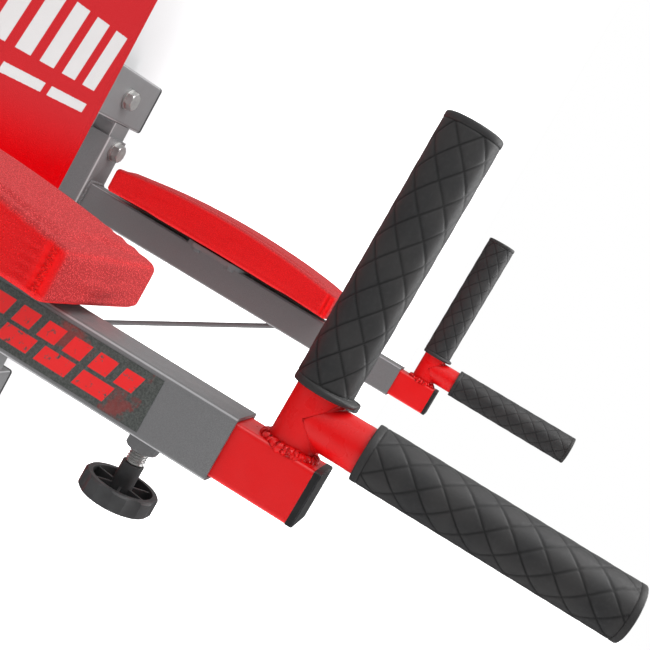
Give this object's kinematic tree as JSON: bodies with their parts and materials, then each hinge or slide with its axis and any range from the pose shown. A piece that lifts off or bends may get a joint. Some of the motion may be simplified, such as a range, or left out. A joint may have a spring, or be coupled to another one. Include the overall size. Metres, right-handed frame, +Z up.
{
  "type": "wall-mounted dip station",
  "caption": "Wall-mounted dip and knee-raise station: padded cantilever arms, sliding screw-clamped handles with grips, and a tall padded backrest.",
  "frame": {"origin": "centre of the four wall bolts, in the wall plane", "axes": "+X along the beams to the right of somebody facing the wall, +Y into the wall, +Z up"},
  "size_m": [0.758, 0.7265, 0.551],
  "materials": {
    "grey_powder_coat": "satin fine-textured powder coat",
    "red_powder_coat": "satin powder coat",
    "red_leatherette": "grained leatherette over foam",
    "black_rubber": "matt, moulded with a diamond quilt",
    "black_plastic": "fine grained moulding",
    "zinc_plate": "bright zinc plate",
    "plywood": "raw plywood",
    "label_film": "printed film"
  },
  "bodies": {
    "frame": {"top_beam": "grey_powder_coat", "bottom_beam": "grey_powder_coat", "beam_end_caps": "black_plastic", "post_weld_beads": "grey_powder_coat", "bracket_bolts": "zinc_plate", "bracket_washers": "zinc_plate", "bracket_nuts": "zinc_plate", "arm_weld_beads": "grey_powder_coat", "brace_weld_beads": "grey_powder_coat", "pad_plate_welds": "grey_powder_coat", "pad_screws": "zinc_plate", "arm_decals": "label_film", "backrest_pad": "red_leatherette", "backrest_board": "plywood", "backrest_bolts": "zinc_plate", "backrest_tee_nuts": "zinc_plate", "wall_bolts": "zinc_plate", "wall_washers": "zinc_plate", "clamp_weld_nuts": "grey_powder_coat", "nut_weld_beads": "grey_powder_coat", "left_post": "grey_powder_coat", "left_bracket": "grey_powder_coat", "left_arm_tube": "grey_powder_coat", "left_brace": "grey_powder_coat", "left_pad_plate": "grey_powder_coat", "left_pad_board": "plywood", "left_forearm_pad": "red_leatherette", "right_post": "grey_powder_coat", "right_bracket": "grey_powder_coat", "right_arm_tube": "grey_powder_coat", "right_brace": "grey_powder_coat", "right_pad_plate": "grey_powder_coat", "right_pad_board": "plywood", "right_forearm_pad": "red_leatherette"},
    "left_handle": {"left_insert_tube": "red_powder_coat", "left_insert_cap": "black_plastic", "left_upright_pipe": "red_powder_coat", "left_forward_pipe": "red_powder_coat", "left_pipe_weld_bead": "red_powder_coat", "left_upright_grip": "black_rubber", "left_forward_grip": "black_rubber"},
    "left_clamp": {"left_clamp_screw": "zinc_plate"},
    "left_wheel": {"left_knob": "black_plastic"},
    "right_handle": {"right_insert_tube": "red_powder_coat", "right_insert_cap": "black_plastic", "right_upright_pipe": "red_powder_coat", "right_forward_pipe": "red_powder_coat", "right_pipe_weld_bead": "red_powder_coat", "right_upright_grip": "black_rubber", "right_forward_grip": "black_rubber"},
    "right_clamp": {"right_clamp_screw": "zinc_plate"},
    "right_wheel": {"right_knob": "black_plastic"}
  },
  "joints": [
    {"name": "left_handle_slide", "type": "slide", "parent": "frame", "child": "left_handle", "axis": [0, -1, 0], "range_m": [-0.006, 0.12]},
    {"name": "left_clamp_travel", "type": "slide", "parent": "frame", "child": "left_clamp", "axis": [0, 0, 1], "range_m": [-0.006, 0]},
    {"name": "left_knob_turn", "type": "hinge", "parent": "left_clamp", "child": "left_wheel", "pos_m": [-0.323, -0.4234, 0.03], "axis": [0, 0, 1], "range_deg": [-1440.5, 0]},
    {"name": "right_handle_slide", "type": "slide", "parent": "frame", "child": "right_handle", "axis": [0, -1, 0], "range_m": [-0.006, 0.12]},
    {"name": "right_clamp_travel", "type": "slide", "parent": "frame", "child": "right_clamp", "axis": [0, 0, 1], "range_m": [-0.006, 0]},
    {"name": "right_knob_turn", "type": "hinge", "parent": "right_clamp", "child": "right_wheel", "pos_m": [0.323, -0.4234, 0.03], "axis": [0, 0, 1], "range_deg": [-1440.5, 0]}
  ],
  "couplings": [
    {"joint": "left_knob_turn", "follows": "left_clamp_travel", "rad_per_m": 4188.8},
    {"joint": "right_knob_turn", "follows": "right_clamp_travel", "rad_per_m": 4188.8}
  ]
}
